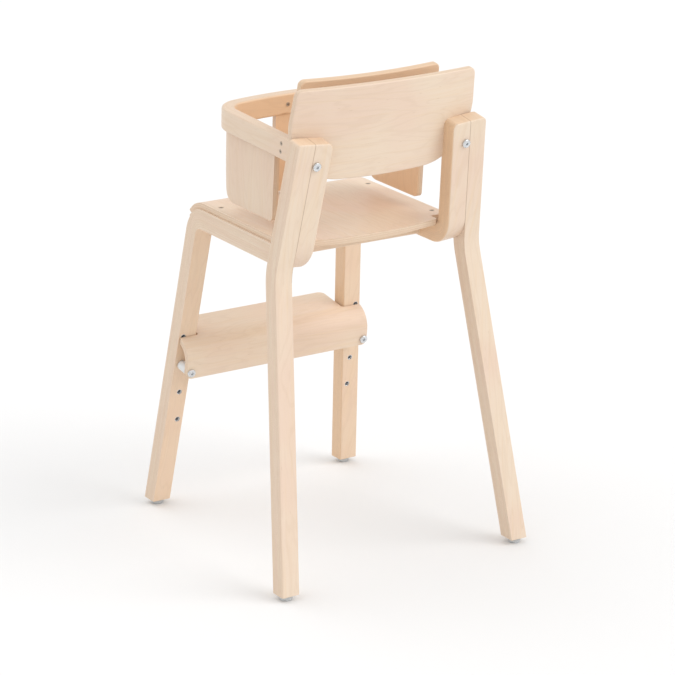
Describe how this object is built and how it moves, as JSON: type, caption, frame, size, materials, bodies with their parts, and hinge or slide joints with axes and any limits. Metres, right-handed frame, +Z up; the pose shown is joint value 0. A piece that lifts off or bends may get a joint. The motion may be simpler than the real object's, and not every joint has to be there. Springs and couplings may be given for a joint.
{
  "type": "baby high chair",
  "caption": "Tall child's high chair of bent laminated wood with a curved backrest, a bolt-on safety hoop with side and crotch panels, and a height-adjustable footrest.",
  "frame": {"origin": "on the floor under the middle of the chair", "axes": "+Z up; the child sits facing -Y; +X is the child's left"},
  "size_m": [0.4316, 0.4573, 0.7292],
  "materials": {
    "birch_laminated": "satin clear lacquer over laminated birch",
    "birch_ply": "satin clear lacquer over moulded birch ply",
    "zinc_steel": "bright zinc",
    "insert_steel": "dull zinc",
    "grey_plastic": "matt"
  },
  "bodies": {
    "chair": {"side_frame_left": "birch_laminated", "side_frame_right": "birch_laminated", "rear_leg_left": "birch_laminated", "rear_leg_right": "birch_laminated", "front_cross_rail": "birch_laminated", "rear_cross_rail": "birch_laminated", "seat_shell": "birch_ply", "seat_screws": "zinc_steel", "backrest": "birch_ply", "backrest_bolt_left": "zinc_steel", "backrest_bolt_right": "zinc_steel", "footrest_inserts_left": "insert_steel", "footrest_inserts_right": "insert_steel", "glide_front_left": "grey_plastic", "glide_front_right": "grey_plastic", "glide_rear_left": "grey_plastic", "glide_rear_right": "grey_plastic"},
    "footrest_unit": {"footrest": "birch_ply", "footrest_bolt_left": "zinc_steel", "footrest_bolt_right": "zinc_steel", "footrest_spacer_left": "grey_plastic", "footrest_spacer_right": "grey_plastic"},
    "hoop_unit": {"hoop": "birch_laminated", "hoop_back_plate": "birch_ply", "hoop_side_panel_left": "birch_ply", "hoop_side_panel_right": "birch_ply", "crotch_panel": "birch_ply", "hoop_insert_left": "insert_steel", "hoop_insert_right": "insert_steel", "back_plate_screws_left": "zinc_steel", "back_plate_screws_right": "zinc_steel", "side_panel_screws_left": "zinc_steel", "side_panel_screws_right": "zinc_steel", "crotch_panel_screws": "zinc_steel"}
  },
  "joints": [
    {"name": "hoop_pull", "type": "slide", "parent": "chair", "child": "hoop_unit", "axis": [0, -0.9818, 0.1898], "range_m": [0, 0.08]},
    {"name": "footrest_pull", "type": "slide", "parent": "chair", "child": "footrest_unit", "axis": [0, 0.9856, -0.1691], "range_m": [0, 0.06]}
  ]
}
